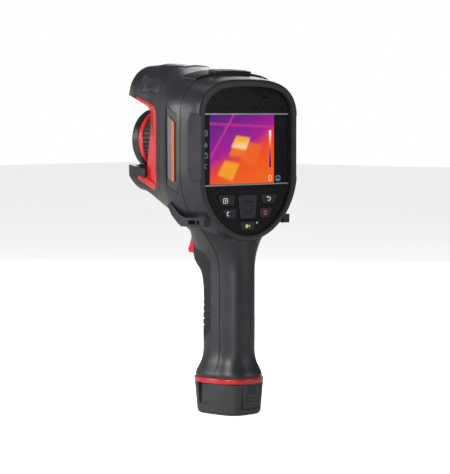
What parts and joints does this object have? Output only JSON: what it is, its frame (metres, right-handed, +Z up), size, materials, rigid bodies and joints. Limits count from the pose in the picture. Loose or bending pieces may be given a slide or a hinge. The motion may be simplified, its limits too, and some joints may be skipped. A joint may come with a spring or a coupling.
{
  "type": "thermal imaging camera",
  "caption": "Pistol-grip thermal camera: rounded head with rear display and keypad, hooded front lens in a red-edged recess, trigger grip and slide-in battery pack.",
  "frame": {"origin": "centre of the battery pack's flat foot, on the axis of the handle", "axes": "+Z up along the handle, +Y forward along the way the lens looks, +X to the user's right"},
  "size_m": [0.1204, 0.1103, 0.2729],
  "materials": {
    "housing_grey": "fine-grained dark grey moulded plastic",
    "nose_grey": "fine-grained darker grey moulded plastic",
    "red_gloss": "smooth glossy red plastic",
    "black_gloss": "glossy black plastic",
    "black_rubber": "matt black rubber",
    "key_rubber": "matt dark grey silicone",
    "label_grey": "satin grey plate with an orange edge",
    "badge_grey": "satin grey plate",
    "screen_glass": "dark glass",
    "clear_glass": "clear glass",
    "lens_glass": "coated infrared lens material",
    "lens_black": "black anodised aluminium",
    "lens_rubber": "ribbed black rubber",
    "steel": "bright steel",
    "board_green": "circuit board",
    "panel_module": "display panel",
    "module_metal": "bare cast metal",
    "module_black": "black moulded plastic",
    "battery_grey": "dark grey moulded plastic",
    "cell_wrap": "blue wrapped cell",
    "led_lens": "small dark window",
    "gasket_black": "black silicone"
  },
  "bodies": {
    "housing": {"rear_shell": "housing_grey", "front_shell": "housing_grey", "nose_cap": "nose_grey", "nose_trim_left": "red_gloss", "nose_trim_right": "red_gloss", "housing_gasket": "gasket_black", "side_plate_left": "label_grey", "side_plate_right": "label_grey", "visor_badge_left": "badge_grey", "visor_badge_right": "badge_grey", "visor_window": "clear_glass", "grip_insert": "black_rubber", "handle_ring": "red_gloss", "trigger_pin": "steel", "trigger_switch": "module_black", "trigger_spring": "steel", "port_block": "module_black", "strap_lug_left": "module_black", "strap_lug_right": "module_black", "upper_bezel": "black_gloss", "display_frame": "black_gloss", "display_glass": "screen_glass", "lcd_panel": "panel_module", "keypad_bezel": "black_gloss", "status_led": "led_lens", "keypad_membrane": "gasket_black", "keypad_board": "board_green", "main_board": "board_green", "lens_barrel": "lens_black", "focus_stripe": "red_gloss", "lens_bezel": "lens_black", "detector_module": "module_metal", "shutter_motor": "module_black", "camera_module": "module_black", "lamp_module": "module_black", "laser_module": "module_metal", "contact_block": "module_black", "screw_handle": "steel", "screw_left": "steel", "screw_right": "steel"},
    "trigger": {"trigger": "red_gloss"},
    "focus_ring": {"focus_ring": "lens_rubber"},
    "lens_cell": {"lens_cell": "module_metal", "front_lens": "lens_glass", "rear_lens": "lens_glass"},
    "shutter_flag": {"shutter_flag": "module_black"},
    "port_cover": {"port_cover": "black_rubber"},
    "battery": {"battery_case": "battery_grey", "battery_cell": "cell_wrap", "battery_board": "board_green", "latch_spring": "steel"},
    "battery_latch": {"battery_latch": "battery_grey"},
    "nav_pad": {"nav_pad": "key_rubber"},
    "ok_key": {"ok_key": "key_rubber"},
    "key_gallery": {"key_gallery": "key_rubber"},
    "key_menu": {"key_menu": "key_rubber"},
    "key_back": {"key_back": "key_rubber"},
    "key_power": {"key_power": "key_rubber"},
    "lamp_key": {"lamp_key": "key_rubber"}
  },
  "joints": [
    {"name": "trigger_pull", "type": "hinge", "parent": "housing", "child": "trigger", "pos_m": [0, 0.0235, 0.1375], "axis": [-1, 0, 0], "range_deg": [0, 8], "stiffness_Nm_per_rad": 0.6, "springref_deg": -2.86, "deforming": ["trigger_spring"]},
    {"name": "key_gallery_press", "type": "slide", "parent": "housing", "child": "key_gallery", "axis": [0, 1, 0], "range_m": [0, 0.0006], "stiffness_N_per_m": 2500, "springref_m": -0.0001},
    {"name": "key_menu_press", "type": "slide", "parent": "housing", "child": "key_menu", "axis": [0, 1, 0], "range_m": [0, 0.0006], "stiffness_N_per_m": 2500, "springref_m": -0.0001},
    {"name": "key_back_press", "type": "slide", "parent": "housing", "child": "key_back", "axis": [0, 1, 0], "range_m": [0, 0.0006], "stiffness_N_per_m": 2500, "springref_m": -0.0001},
    {"name": "key_power_press", "type": "slide", "parent": "housing", "child": "key_power", "axis": [0, 1, 0], "range_m": [0, 0.0006], "stiffness_N_per_m": 2500, "springref_m": -0.0001},
    {"name": "lamp_key_press", "type": "slide", "parent": "housing", "child": "lamp_key", "axis": [0, 1, 0], "range_m": [0, 0.0006], "stiffness_N_per_m": 2500, "springref_m": -0.0001},
    {"name": "ok_key_press", "type": "slide", "parent": "housing", "child": "ok_key", "axis": [0, 1, 0], "range_m": [0, 0.0006], "stiffness_N_per_m": 2500, "springref_m": -0.0001},
    {"name": "nav_tilt", "type": "hinge", "parent": "housing", "child": "nav_pad", "pos_m": [0, -0.0184, 0.1616], "axis": [1, 0, 0], "range_deg": [-2.5, 2.5], "stiffness_Nm_per_rad": 0.3},
    {"name": "focus_turn", "type": "hinge", "parent": "housing", "child": "focus_ring", "pos_m": [0, 0.066, 0.2128], "axis": [0, 1, 0], "range_deg": [-60, 60]},
    {"name": "focus_travel", "type": "slide", "parent": "housing", "child": "lens_cell", "axis": [0, 1, 0], "range_m": [-0.00115, 0.00115]},
    {"name": "shutter_swing", "type": "hinge", "parent": "housing", "child": "shutter_flag", "pos_m": [0.0226, 0.03575, 0.228], "axis": [0, 1, 0], "range_deg": [0, 48]},
    {"name": "port_cover_open", "type": "hinge", "parent": "housing", "child": "port_cover", "pos_m": [0, 0.0094, 0.2669], "axis": [-1, 0, 0], "range_deg": [0, 100]},
    {"name": "battery_out", "type": "slide", "parent": "housing", "child": "battery", "axis": [0, 0, -1], "range_m": [0, 0.085]},
    {"name": "latch_press", "type": "slide", "parent": "battery", "child": "battery_latch", "axis": [0, 1, 0], "range_m": [0, 0.0015], "stiffness_N_per_m": 800, "springref_m": -0.0005, "deforming": ["latch_spring"]}
  ],
  "couplings": [
    {"joint": "focus_turn", "follows": "focus_travel", "rad_per_m": 909.09}
  ]
}
